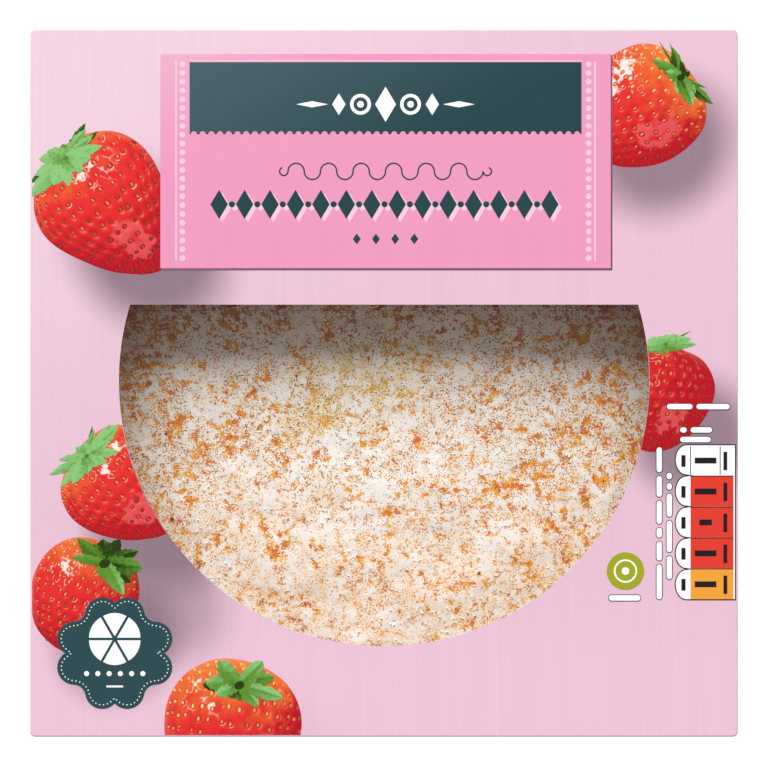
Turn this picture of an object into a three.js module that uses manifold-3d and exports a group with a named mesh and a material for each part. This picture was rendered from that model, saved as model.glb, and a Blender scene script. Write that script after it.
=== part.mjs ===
// A shut carton with a D-shaped window in its lid, and the round sponge cake that it holds.
// Millimetres, +Z up. The origin is the middle of the carton's base, and the lid hinges along +Y.
import * as THREE from "three";
import { mergeVertices } from "three/addons/utils/BufferGeometryUtils.js";
import Module from "manifold-3d";

// The carton: one sheet of folding board, glued into a tray with a hinged lid.
const CARTON_SIDE = 170;
const CARTON_HEIGHT = 65;
const BOARD = 0.6;
const CORNER_RADIUS = 1.2;
const CORNER_STEPS = 4;

// The lid meets the back wall in a fold. Along the other three walls it only lies on their cut edges.
const LID_SEAM = 0.3;
const FLAP_DEPTH = 20;
const FLAP_TAPER = 7;
const FLAP_CLEARANCE = 0.4;
const FLAP_END_GAP = 3;

// The window is a circle, cut off by a straight edge. Both are placed from the lid's middle, along +Y.
const WINDOW_RADIUS = 63.6;
const WINDOW_CENTRE = 0.5;
const WINDOW_STRAIGHT_EDGE = 18.8;
const WINDOW_STEPS = 96;

// The clear film is glued to the lid's inner face, all round the window.
const FILM = 0.2;
const FILM_MARGIN = 7;
const GLUE = 0.1;

// The cake stands on the carton's base, as far from each wall.
const CAKE_RADIUS = 78;
const CAKE_HEIGHT = 48;
const CAKE_CLEARANCE = 0.3;
const CAKE_FOOT_RADIUS = 4;
const CAKE_SHOULDER_RADIUS = 9;
const CAKE_SIDE_BULGE = 1.2;
const CAKE_DOME = 3;
const CAKE_STEPS = 96;
const CAKE_WAVES = [
  { lobes: 2, size: 0.5, turn: 0.4 },
  { lobes: 3, size: 0.4, turn: 1.9 },
  { lobes: 5, size: 0.3, turn: 3.1 },
  { lobes: 9, size: 0.15, turn: 5.2 },
];

const MATERIALS = {
  board: new THREE.MeshStandardMaterial({ color: 0xf2c6db, roughness: 0.45, metalness: 0 }),
  film: new THREE.MeshStandardMaterial({
    color: 0xffffff,
    roughness: 0.08,
    metalness: 0,
    transparent: true,
    opacity: 0.15,
  }),
  sponge: new THREE.MeshStandardMaterial({ color: 0xe7cfb8, roughness: 0.95, metalness: 0 }),
};

const wasm = await Module();
wasm.setup();

/** A closed geometry as a manifold-3d solid, for joining and cutting. */
function solidOf(geometry) {
  const plain = geometry.clone();
  plain.deleteAttribute("normal");
  plain.deleteAttribute("uv");
  const merged = mergeVertices(plain, 1e-4);
  const mesh = new wasm.Mesh({
    numProp: 3,
    vertProperties: new Float32Array(merged.attributes.position.array),
    triVerts: new Uint32Array(merged.index.array),
  });
  return new wasm.Manifold(mesh);
}

/** A manifold-3d solid as a geometry with flat-shaded faces. */
function geometryOf(solid) {
  const { vertProperties, triVerts } = solid.getMesh();
  const geometry = new THREE.BufferGeometry()
    .setAttribute("position", new THREE.BufferAttribute(vertProperties, 3))
    .setIndex(new THREE.BufferAttribute(triVerts, 1))
    .toNonIndexed();
  geometry.computeVertexNormals();
  return geometry;
}

/** A square outline with round corners, about the origin. */
function roundedSquare(side, radius) {
  const middle = side / 2 - radius;
  const shape = new THREE.Shape();
  shape.absarc(middle, middle, radius, 0, Math.PI / 2);
  shape.absarc(-middle, middle, radius, Math.PI / 2, Math.PI);
  shape.absarc(-middle, -middle, radius, Math.PI, 1.5 * Math.PI);
  shape.absarc(middle, -middle, radius, 1.5 * Math.PI, 2 * Math.PI);
  return shape;
}

/** The window's outline: an arc below a straight edge. A margin grows it on every side. */
function windowOutline(margin = 0) {
  const radius = WINDOW_RADIUS + margin;
  const end = Math.asin((WINDOW_STRAIGHT_EDGE - WINDOW_CENTRE + margin) / radius);
  const shape = new THREE.Shape();
  shape.absarc(0, WINDOW_CENTRE, radius, Math.PI - end, 2 * Math.PI + end);
  shape.closePath();
  return shape;
}

/** A flat outline made solid, standing on height z. */
function slab(outline, thickness, z, curveSegments) {
  const options = { depth: thickness, bevelEnabled: false, curveSegments };
  return new THREE.ExtrudeGeometry(outline, options).translate(0, 0, z);
}

/** A flap of the lid, hanging from its upper edge, with its outer face on y = 0 and its ends tapered. */
function flap(length) {
  const outline = new THREE.Shape();
  outline.moveTo(-length / 2, 0);
  outline.lineTo(-length / 2 + FLAP_TAPER, -FLAP_DEPTH);
  outline.lineTo(length / 2 - FLAP_TAPER, -FLAP_DEPTH);
  outline.lineTo(length / 2, 0);
  const options = { depth: BOARD, bevelEnabled: false };
  // Stood up about X, the board's thickness runs from y = 0 to y = -BOARD, so it is moved behind y = 0.
  return new THREE.ExtrudeGeometry(outline, options).rotateX(Math.PI / 2).translate(0, BOARD, 0);
}

/** The folded board: a tray, and a lid that is one piece with the back wall. */
function cartonGeometry() {
  const lidUnderside = CARTON_HEIGHT - BOARD;
  const innerSide = CARTON_SIDE - 2 * BOARD;

  const outer = slab(roundedSquare(CARTON_SIDE, CORNER_RADIUS), CARTON_HEIGHT, 0, CORNER_STEPS);
  const innerOutline = roundedSquare(innerSide, CORNER_RADIUS - BOARD);
  const hollow = slab(innerOutline, lidUnderside - BOARD, BOARD, CORNER_STEPS);
  const opening = slab(windowOutline(), 3 * BOARD, lidUnderside - BOARD, WINDOW_STEPS);

  // The seam runs through the front and side walls, and stops at the back wall's inner face.
  const beyond = 1;
  const seam = new THREE.BoxGeometry(CARTON_SIDE + 2 * beyond, innerSide + BOARD + beyond, LID_SEAM);
  seam.translate(0, -(BOARD + beyond) / 2, lidUnderside - LID_SEAM / 2);

  let carton = solidOf(outer)
    .subtract(solidOf(hollow))
    .subtract(solidOf(opening))
    .subtract(solidOf(seam));

  // The front flap tucks in behind the front wall, and a dust flap hangs behind each side wall.
  const flapFace = innerSide / 2 - FLAP_CLEARANCE;
  const root = BOARD / 2;
  for (const quarter of [0, 1, 3]) {
    const length = innerSide - 2 * (FLAP_CLEARANCE + FLAP_END_GAP);
    const hung = flap(length)
      .translate(0, -flapFace, lidUnderside + root)
      .rotateZ((quarter * Math.PI) / 2);
    carton = carton.add(solidOf(hung));
  }
  return geometryOf(carton);
}

/** Half of the cake's section, from the axis at its base, round the foot and shoulder, to the axis on top. */
function cakeProfile() {
  const points = [new THREE.Vector2(0, 0)];
  const footSteps = 4;
  const footCentre = CAKE_RADIUS - CAKE_SIDE_BULGE - CAKE_FOOT_RADIUS;
  for (let i = 0; i <= footSteps; i++) {
    const a = -Math.PI / 2 + ((i / footSteps) * Math.PI) / 2;
    const r = footCentre + CAKE_FOOT_RADIUS * Math.cos(a);
    points.push(new THREE.Vector2(r, CAKE_FOOT_RADIUS * (1 + Math.sin(a))));
  }

  const shoulderBottom = CAKE_HEIGHT - CAKE_DOME - CAKE_SHOULDER_RADIUS;
  const sideSteps = 6;
  for (let i = 1; i < sideSteps; i++) {
    const t = i / sideSteps;
    const r = CAKE_RADIUS - CAKE_SIDE_BULGE * (1 - Math.sin(t * Math.PI));
    points.push(new THREE.Vector2(r, CAKE_FOOT_RADIUS + t * (shoulderBottom - CAKE_FOOT_RADIUS)));
  }

  const shoulderSteps = 7;
  const shoulderCentre = CAKE_RADIUS - CAKE_SIDE_BULGE - CAKE_SHOULDER_RADIUS;
  for (let i = 0; i <= shoulderSteps; i++) {
    const a = ((i / shoulderSteps) * Math.PI) / 2;
    const r = shoulderCentre + CAKE_SHOULDER_RADIUS * Math.cos(a);
    points.push(new THREE.Vector2(r, shoulderBottom + CAKE_SHOULDER_RADIUS * Math.sin(a)));
  }

  const domeSteps = 8;
  for (let i = domeSteps - 1; i >= 0; i--) {
    const t = i / domeSteps;
    points.push(new THREE.Vector2(t * shoulderCentre, CAKE_HEIGHT - CAKE_DOME * t * t));
  }
  return points;
}

/** The baked cake: a turned form whose side and top are as uneven as a risen sponge. The base stays flat. */
function cakeGeometry() {
  const geometry = new THREE.LatheGeometry(cakeProfile(), CAKE_STEPS);
  const position = geometry.attributes.position;
  const point = new THREE.Vector3();
  for (let i = 0; i < position.count; i++) {
    point.fromBufferAttribute(position, i);
    const radius = Math.hypot(point.x, point.z);
    const angle = Math.atan2(point.z, point.x);
    let wave = 0;
    for (const { lobes, size, turn } of CAKE_WAVES) wave += size * Math.sin(lobes * angle + turn);
    const out = radius / CAKE_RADIUS;
    const up = point.y / CAKE_HEIGHT;
    const grown = radius > 0 ? 1 + (wave * out * up) / radius : 1;
    point.x *= grown;
    point.z *= grown;
    point.y += 0.5 * wave * out * up * up;
    position.setXYZ(i, point.x, point.y, point.z);
  }
  geometry.computeVertexNormals();
  return geometry;
}

/** A named mesh of the part. */
function piece(name, geometry, material) {
  const mesh = new THREE.Mesh(geometry, material);
  mesh.name = name;
  return mesh;
}

const packedCake = new THREE.Group();

packedCake.add(piece("carton", cartonGeometry(), MATERIALS.board));

const filmGeometry = slab(windowOutline(FILM_MARGIN), FILM, -FILM, WINDOW_STEPS);
const film = piece("window_film", filmGeometry, MATERIALS.film);
film.position.z = CARTON_HEIGHT - BOARD - GLUE;
packedCake.add(film);

const cake = piece("cake", cakeGeometry(), MATERIALS.sponge);
cake.rotation.x = Math.PI / 2;
cake.position.z = BOARD + CAKE_CLEARANCE;
packedCake.add(cake);

export default packedCake;
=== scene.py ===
"""Finishes a boxed sponge cake: a printed folding carton with a clear window, over a sugared cake.

The carton's lid faces up and hinges along +Y. What is printed on it is laid as thin closed layers
of ink, which stay inside the box that the frame gives. Lengths are in metres, and MM turns
millimetres into them.
"""

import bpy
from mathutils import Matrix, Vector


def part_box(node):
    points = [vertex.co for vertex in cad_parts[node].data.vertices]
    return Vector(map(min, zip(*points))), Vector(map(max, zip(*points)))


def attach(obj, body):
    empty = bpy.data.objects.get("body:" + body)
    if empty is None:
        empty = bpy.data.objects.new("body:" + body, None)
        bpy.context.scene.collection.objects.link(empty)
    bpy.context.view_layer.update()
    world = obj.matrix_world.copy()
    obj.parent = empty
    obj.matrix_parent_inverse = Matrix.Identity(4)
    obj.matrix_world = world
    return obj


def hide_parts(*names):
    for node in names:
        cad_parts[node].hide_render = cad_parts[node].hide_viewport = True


bl_info = {
    "name": "Boxed Sponge Cake",
    "version": (1, 0, 0),
    "blender": (4, 5, 0),
    "location": "3D View > Sidebar > Cake Box",
    "description": "Makes a printed window carton with a sugared sponge cake in it",
    "category": "Add Mesh",
}

import math
import random
from collections import namedtuple

import bmesh
import bpy
from mathutils import Matrix, Vector, kdtree, noise

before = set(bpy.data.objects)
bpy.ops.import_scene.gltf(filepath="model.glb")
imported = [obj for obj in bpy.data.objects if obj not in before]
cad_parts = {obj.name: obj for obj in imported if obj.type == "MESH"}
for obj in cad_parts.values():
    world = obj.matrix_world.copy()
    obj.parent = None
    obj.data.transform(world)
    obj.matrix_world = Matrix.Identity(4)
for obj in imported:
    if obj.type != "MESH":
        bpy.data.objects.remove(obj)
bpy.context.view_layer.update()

MM = 0.001
UP = Vector((0, 0, 1))

# The carton, the film and the cake, as the frame has them.
CARTON_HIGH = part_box("carton")[1]
FILM_LOW, FILM_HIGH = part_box("window_film")
CAKE_LOW, CAKE_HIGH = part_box("cake")

# The board lies this far inside the frame's carton, which leaves room for the ink on it.
INK_ROOM = 0.15 * MM
HALF = CARTON_HIGH.x - INK_ROOM
LID_TOP = CARTON_HIGH.z - INK_ROOM
INK_LAYER = 0.012 * MM

# The film reaches this far past the window on every side.
FILM_MARGIN = 7 * MM
WINDOW_RADIUS = FILM_HIGH.x - FILM_MARGIN
WINDOW_CENTRE = FILM_LOW.y + FILM_MARGIN + WINDOW_RADIUS
WINDOW_STRAIGHT_EDGE = FILM_HIGH.y - FILM_MARGIN


def tint(red, green, blue):
    """A colour given as it looks on a screen, from 0 to 255, as the linear light that shaders take."""
    def linear(value):
        value /= 255
        return value / 12.92 if value <= 0.04045 else ((value + 0.055) / 1.055) ** 2.4
    return linear(red), linear(green), linear(blue)


# ---------------------------------------------------------------- settings


def length(name, description, default):
    """A length that a user can change."""
    return bpy.props.FloatProperty(
        name=name, description=description, default=default, unit="LENGTH", precision=5)


def colour(name, description, default):
    """A colour that a user can change."""
    return bpy.props.FloatVectorProperty(
        name=name, description=description, default=default, subtype="COLOR", min=0, max=1)


class CartonSettings(bpy.types.PropertyGroup):
    board: length("Board", "Thickness of the folding board", 0.5 * MM)
    corner_radius: length("Corner radius", "Radius of the folds between the walls", 1.2 * MM)
    fold_radius: length("Fold radius", "Radius of the folds round the lid and the base", 0.35 * MM)
    flap_depth: length("Flap depth", "How far the lid's flaps tuck in", 20 * MM)
    # The lid's print is lighter towards the upper left: a painted light.
    print_in_painted_light: colour("Light pink", "The printed pink at the upper left of the lid", tint(231, 200, 215))
    print_dark: colour("Deep pink", "The printed pink of the rest of the lid", tint(227, 187, 206))
    print_front: colour("Front pink", "The printed pink at the front of the lid", tint(232, 191, 211))
    # The walls and base are deeper pink than the lid: a painted shade that keeps the brightly lit walls from
    # washing out.
    wall_pink_in_painted_shade: colour("Wall pink", "The walls and the base, deeper than the lid", tint(225, 180, 203))
    shade: colour("Printed shade", "The soft shade printed beside each strawberry", tint(137, 113, 126))
    raw_board: colour("Raw board", "The unprinted inside and the cut edges", tint(222, 208, 188))


class CakeSettings(bpy.types.PropertyGroup):
    sugar: colour("Icing sugar", "Where the sugar lies thick", tint(253, 247, 241))
    thin_sugar: colour("Thin sugar", "Where the crust shows through the sugar", tint(255, 239, 220))
    golden: colour("Golden crust", "The palest bare crust", tint(252, 172, 30))
    baked: colour("Baked crust", "Most of the bare crust", tint(228, 120, 16))
    dark: colour("Dark crust", "The specks between grains of sugar", tint(108, 46, 10))
    clump_size: length("Clump size", "Radius of a usual clump of sugar", 0.15 * MM)
    crumb_size: length("Crumb size", "Radius of a usual crumb", 0.16 * MM)


class BerrySettings(bpy.types.PropertyGroup):
    bright: colour("Bright red", "The lit side of a strawberry", tint(226, 44, 44))
    deep: colour("Deep red", "The shaded side of a strawberry", tint(182, 14, 30))
    orange: colour("Orange", "The shoulder round the leaves", tint(234, 114, 44))
    seed: colour("Seed", "The palest seeds", tint(250, 204, 120))
    fresh_leaf: colour("Fresh leaf", "The lightest leaves", tint(138, 195, 122))
    leaf: colour("Leaf", "Most of the leaves", tint(92, 142, 44))
    dark_leaf: colour("Dark leaf", "The darkest leaves", tint(36, 58, 10))
    seed_gap: bpy.props.FloatProperty(
        name="Seed gap", description="Angle between rows of seeds", default=0.175, subtype="ANGLE")


class LabelSettings(bpy.types.PropertyGroup):
    width: length("Width", "Width of the label", 108 * MM)
    height: length("Height", "Height of the label", 51.4 * MM)
    centre_x: length("Across", "The label's middle along X", 0.35 * MM)
    centre_y: length("Up", "The label's middle along Y", 53.25 * MM)
    pink: colour("Label pink", "The label's own pink", tint(232, 150, 186))
    pale: colour("Pale pink", "The thin lines and dots", tint(240, 198, 215))
    # The band runs from light teal to deep teal as a painted light from the left.
    teal: colour("Teal", "The band's deeper end", tint(36, 67, 74))
    teal_light: colour("Light teal", "The band's lighter end", tint(68, 92, 100))


class StageSettings(bpy.types.PropertyGroup):
    framed: length("Framed width", "Width of the view at the height of the lid", 184.2 * MM)
    camera_height: length("Camera height", "Height of the camera above the lid", 2.4)
    floor_width: length("Floor width", "Width of the pale floor", 6.0)
    key_width: length("Key light width", "Width of the main light", 4.2)
    key_depth: length("Key light depth", "Depth of the main light", 2.35)
    key_power: bpy.props.FloatProperty(
        name="Key light power", description="Power of the main light", default=268, unit="POWER")
    ambient: bpy.props.FloatProperty(
        name="Ambient light", description="Strength of the even light from all sides", default=0.27, min=0)


# ---------------------------------------------------------------- finishes


class Finish:
    """One finish of the object: a Principled shader, with the nodes that colour and roughen it."""

    def __init__(self, name, roughness, specular=0.5):
        self.material = bpy.data.materials.new(name)
        self.material.use_nodes = True
        self.tree = self.material.node_tree
        self.shader = self.tree.nodes["Principled BSDF"]
        self.shader.inputs["Roughness"].default_value = roughness
        self.shader.inputs["Specular IOR Level"].default_value = specular
        self.place = self.node("ShaderNodeTexCoord").outputs["Object"]

    def node(self, kind, **settings):
        """A new node with these settings."""
        node = self.tree.nodes.new(kind)
        for name, value in settings.items():
            setattr(node, name, value)
        return node

    def feed(self, socket, value):
        """Gives a socket another node's output, a plain value, or a colour."""
        if isinstance(value, bpy.types.NodeSocket):
            self.tree.links.new(value, socket)
        elif socket.type == "RGBA":
            socket.default_value = (*value, 1.0)
        else:
            socket.default_value = value

    def math(self, operation, first, second=0.0):
        """One operation on two numbers."""
        node = self.node("ShaderNodeMath", operation=operation)
        self.feed(node.inputs[0], first)
        self.feed(node.inputs[1], second)
        return node.outputs[0]

    def times(self, first, *others):
        """The product of numbers."""
        for other in others:
            first = self.math("MULTIPLY", first, other)
        return first

    def plus(self, first, *others):
        """The sum of numbers."""
        for other in others:
            first = self.math("ADD", first, other)
        return first

    def minus(self, first, second):
        """The first number less the second."""
        return self.math("SUBTRACT", first, second)

    def mix(self, factor, first, second, blend="MIX"):
        """Two colours, mixed by a factor."""
        node = self.node("ShaderNodeMix", data_type="RGBA", blend_type=blend)
        for socket, value in zip((node.inputs[0], node.inputs[6], node.inputs[7]), (factor, first, second)):
            self.feed(socket, value)
        return node.outputs[2]

    def glaze(self, under, over, *factors):
        """A colour under another, which shows as much as the product of the factors."""
        return self.mix(self.times(*factors), under, over)

    def step(self, value, low, high):
        """0 below low, 1 above high, and a smooth rise between them."""
        node = self.node("ShaderNodeMapRange", interpolation_type="SMOOTHSTEP")
        self.feed(node.inputs["Value"], value)
        node.inputs["From Min"].default_value = low
        node.inputs["From Max"].default_value = high
        return node.outputs[0]

    def mapped(self, location=(0, 0, 0), turn=0.0, scale=(1, 1, 1), vector=None):
        """The place on the object, moved, turned about Z and scaled."""
        node = self.node("ShaderNodeMapping", vector_type="TEXTURE")
        self.feed(node.inputs["Vector"], vector or self.place)
        node.inputs["Location"].default_value = location
        node.inputs["Rotation"].default_value = (0, 0, turn)
        node.inputs["Scale"].default_value = scale
        return node.outputs[0]

    def noise(self, size, detail=2.0, rough=0.5, vector=None, stretch=(1, 1, 1)):
        """Smooth noise whose features are about that size."""
        node = self.node("ShaderNodeTexNoise")
        scale = tuple(size * part for part in stretch)
        self.feed(node.inputs["Vector"], self.mapped(scale=scale, vector=vector))
        node.inputs["Scale"].default_value = 1.0
        node.inputs["Detail"].default_value = detail
        node.inputs["Roughness"].default_value = rough
        return node.outputs[0]

    def along(self, direction, vector=None):
        """How far the place lies along a direction."""
        node = self.node("ShaderNodeVectorMath", operation="DOT_PRODUCT")
        self.feed(node.inputs[0], vector or self.place)
        node.inputs[1].default_value = direction
        return node.outputs["Value"]

    def axes(self, vector=None):
        """The X, Y and Z of the place."""
        node = self.node("ShaderNodeSeparateXYZ")
        self.feed(node.inputs[0], vector or self.place)
        return node.outputs

    def size(self, vector):
        """How long a vector is."""
        node = self.node("ShaderNodeVectorMath", operation="LENGTH")
        self.feed(node.inputs[0], vector)
        return node.outputs["Value"]

    def away(self, middle, heading, half_long, half_wide):
        """How far the place is from the middle of an ellipse: 1 on its edge. heading is in degrees."""
        return self.size(self.mapped(middle, math.radians(heading), (half_long, half_wide, 1)))

    def amount(self, name):
        """A number that the mesh holds at each point."""
        return self.node("ShaderNodeAttribute", attribute_name=name).outputs["Fac"]

    def direction(self, name):
        """A vector that the mesh holds at each point."""
        return self.node("ShaderNodeAttribute", attribute_name=name).outputs["Vector"]

    def uneven(self, size, detail=2.0, rough=0.5, vector=None):
        """Smooth noise about zero."""
        return self.minus(self.noise(size, detail, rough, vector), 0.5)

    def brushed(self, colour, strength):
        """A colour with the fine upright lines of brushed paper in it."""
        fine = self.noise(0.45 * MM, 2, 0.6, stretch=(1, 90, 90))
        wide = self.noise(2.2 * MM, 2, 0.5, stretch=(1, 60, 60))
        both = self.plus(self.times(fine, 0.6), self.times(wide, 0.4))
        lines = self.plus(self.times(self.minus(both, 0.5), strength), 1.0)
        grey = self.node("ShaderNodeCombineColor")
        for socket in grey.inputs[:3]:
            self.feed(socket, lines)
        return self.mix(1.0, colour, grey.outputs[0], "MULTIPLY")

    def paper_grain(self):
        """The faint roughness of printed paper."""
        self.bump(self.noise(0.12 * MM, 3), 0.01 * MM, 0.4)

    def bump(self, height, distance, strength=1.0):
        """Feeds a height, in units of distance, to the shader's normal."""
        node = self.node("ShaderNodeBump")
        node.inputs["Strength"].default_value = strength
        node.inputs["Distance"].default_value = distance
        self.feed(node.inputs["Height"], height)
        self.feed(self.shader.inputs["Normal"], node.outputs[0])

    def colour(self, value):
        """Feeds the shader's colour."""
        self.feed(self.shader.inputs["Base Color"], value)


def ink_finish(name, light, dark=None, start=-75 * MM, end=-20 * MM):
    """Printed ink, lighter at the upper left of the lid as a painted light, with the paper's lines faintly
    through it.
    """
    finish = Finish(name, 0.45, 0.15)
    # The ink runs from its light colour at the upper left to its dark one: a painted light from the upper
    # left.
    blend = finish.step(finish.along((0.5, -0.86, 0)), start, end)
    finish.colour(finish.brushed(finish.mix(blend, light, dark or light), 0.07))
    finish.paper_grain()
    return finish.material


# ---------------------------------------------------------------- making meshes


def keep(name, bm, material, replaced=()):
    """Turns a bmesh into a finished piece that rides on the object."""
    mesh = bpy.data.meshes.new(name)
    bm.to_mesh(mesh)
    bm.free()
    if not mesh.polygons:
        raise RuntimeError(name + " has no faces")
    mesh.materials.append(material)
    piece = bpy.data.objects.new(name, mesh)
    bpy.context.scene.collection.objects.link(piece)
    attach(piece, "root")
    if replaced:
        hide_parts(*replaced)
    return piece


def bevel(bm, edges, radius, segments):
    """Rounds edges."""
    bmesh.ops.bevel(
        bm, geom=edges, offset=radius, segments=segments, profile=0.5, affect="EDGES", material=-1)


def block(bm, low, high):
    """A box between two corners. Gives its points."""
    low, high = Vector(low), Vector(high)
    place = Matrix.Translation((low + high) / 2) @ Matrix.Diagonal((*(high - low), 1))
    return bmesh.ops.create_cube(bm, size=1, matrix=place)["verts"]


def since(bm, before):
    """The points made since before was noted."""
    return [vert for vert in bm.verts if vert not in before]


def face_up(faces):
    """Turns flat faces over where they look down."""
    for face in faces:
        if face.normal.z < 0:
            face.normal_flip()


def thicken(bm, faces, depth):
    """Makes a closed slab of flat faces that lie in XY, downwards by depth."""
    made = bmesh.ops.extrude_face_region(bm, geom=faces, use_keep_orig=True)
    lower = [item for item in made["geom"] if isinstance(item, bmesh.types.BMVert)]
    bmesh.ops.translate(bm, verts=lower, vec=-depth * UP)
    bmesh.ops.recalc_face_normals(bm, faces=bm.faces)


def pour(batch, bm):
    """Adds what one bmesh holds to another, and empties the first.

    Many small shapes are made fastest in batches."""
    mesh = bpy.data.meshes.new("batch")
    batch.to_mesh(mesh)
    bm.from_mesh(mesh)
    bpy.data.meshes.remove(mesh)
    batch.clear()


class Pen:
    """Draws a closed flat outline in XY: straight lines, and arcs spun round a centre."""

    def __init__(self, bm, x, y):
        self.bm = bm
        self.point = bm.verts.new((x, y, 0))
        self.drawn = [self.point]

    def line(self, x, y):
        """A straight line to a point."""
        made = bmesh.ops.extrude_vert_indiv(self.bm, verts=[self.point])
        self.point = made["verts"][0]
        self.point.co = (x, y, 0)
        self.drawn.append(self.point)
        return self

    def arc(self, x, y, degrees, steps):
        """An arc round a centre, anticlockwise where degrees are positive."""
        for _ in range(steps):
            made = bmesh.ops.spin(
                self.bm, geom=[self.point], cent=(x, y, 0), axis=UP,
                angle=math.radians(degrees) / steps, steps=1, use_merge=False)
            self.point = made["geom_last"][0]
            self.drawn.append(self.point)
        return self

    def close(self):
        """Joins the last point to the first, and gives the outline's edges."""
        first = self.drawn[0]
        if (self.point.co - first.co).length < 1e-3 * MM:
            bmesh.ops.weld_verts(self.bm, targetmap={self.point: first})
            self.drawn.pop()
        else:
            bmesh.ops.contextual_create(self.bm, geom=[self.point, first])
        return list({edge for vert in self.drawn for edge in vert.link_edges})

    def fill(self):
        """Closes the outline and fills it with one face."""
        made = bmesh.ops.contextual_create(self.bm, geom=self.close())
        return made["faces"][0]


def rounded_square(bm, half, radius, steps=5):
    """The edges of a square with round corners."""
    middle = half - radius
    pen = Pen(bm, half, -middle)
    for x, y in ((1, 1), (-1, 1), (-1, -1), (1, -1)):
        across = x * y
        corner = (x * half, y * middle) if across > 0 else (x * middle, y * half)
        pen.line(*corner)
        pen.arc(x * middle, y * middle, 90, steps)
    return pen.close()


def window_outline(bm, steps=120):
    """The edges of the window: an arc below a straight edge."""
    rise = WINDOW_STRAIGHT_EDGE - WINDOW_CENTRE
    reach = math.sqrt(WINDOW_RADIUS ** 2 - rise ** 2)
    sweep = 180 + 2 * math.degrees(math.asin(rise / WINDOW_RADIUS))
    pen = Pen(bm, -reach, WINDOW_STRAIGHT_EDGE)
    pen.arc(0, WINDOW_CENTRE, sweep, steps)
    return pen.close()


def disc(bm, x, y, radius, segments=16, turn=0.0, stretch=1.0):
    """A flat disc, or an ellipse stretched along the direction of turn."""
    place = Matrix.Translation((x, y, 0)) @ Matrix.Rotation(turn, 4, "Z")
    return bmesh.ops.create_circle(
        bm, cap_ends=True, radius=radius, segments=segments,
        matrix=place @ Matrix.Diagonal((stretch, 1, 1, 1)))["verts"]


def bar(bm, left, low, right, high):
    """A flat rectangle."""
    place = Matrix.Translation(((left + right) / 2, (low + high) / 2, 0))
    size = Matrix.Diagonal((right - left, high - low, 1, 1))
    return bmesh.ops.create_grid(bm, x_segments=1, y_segments=1, size=0.5, matrix=place @ size)["verts"]


def diamond(bm, x, y, width, height):
    """A flat lozenge."""
    return disc(bm, x, y, height / 2, segments=4, stretch=width / height)


def band(bm, x, y, radius, width, start, sweep, steps):
    """A flat strip bent round a centre, from the angle start through sweep, in degrees."""
    turn = Matrix.Rotation(math.radians(start), 3, "Z")
    ends = [bm.verts.new(Vector((x, y, 0)) + turn @ Vector((radius + side * width / 2, 0, 0)))
            for side in (-1, 1)]
    edge = bm.edges.new(ends)
    bmesh.ops.spin(
        bm, geom=[*ends, edge], cent=(x, y, 0), axis=UP, angle=math.radians(sweep), steps=steps,
        use_merge=abs(sweep) == 360)


def print_layer(name, bm, level, material):
    """Lays flat faces as a closed layer of ink, with its top that many layers above the board."""
    face_up(bm.faces)
    thicken(bm, bm.faces[:], (level + 1) * INK_LAYER)
    bmesh.ops.translate(bm, verts=bm.verts, vec=(LID_TOP + level * INK_LAYER) * UP)
    return keep(name, bm, material)


def print_shape(name, level, material, draw, *values):
    """Draws one shape and lays it as a layer of ink."""
    bm = bmesh.new()
    draw(bm, *values)
    return print_layer(name, bm, level, material)


# ---------------------------------------------------------------- carton


Berry = namedtuple("Berry", "x y heading length width taper flat skew ripe shade lean")

# The printed strawberries, in millimetres and degrees. heading is where the tip points, taper narrows
# the tip, flat presses in the stalk's end, and skew bows the body sideways. ripe is 0 for an orange
# shoulder, 1 for a red one, and more for a darker berry. shade is how strong the printed shade beside
# the berry is, and lean is how far it lies to the right.
BERRIES = (
    Berry(-65.0, 41.8, -48, 38.0, 31.0, 0.34, 0.00, -0.04, 0.95, 1.0, 8.5),
    Berry(62.2, 66.3, 218, 32.5, 28.8, 0.08, 0.14, 0.00, 0.1, 0.95, 4.5),
    Berry(65.4, -3.4, -95, 26.4, 26.2, 0.22, 0.06, 0.05, 1.4, 0.95, 8.5),
    Berry(-62.4, -24.7, -38, 31.5, 26.4, 0.25, 0.10, -0.05, 0.65, 1.0, 8.5),
    Berry(-72.2, -50.8, 243, 28.5, 25.8, 0.10, 0.05, 0.00, 0.4, 1.0, 8.5),
    Berry(-37.1, -83.0, -98, 35.0, 33.0, 0.08, 0.04, 0.04, 0.25, 0.1, 8.5),
)

Calyx = namedtuple("Calyx", "x y core tone contrast blunt leaves")

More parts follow.
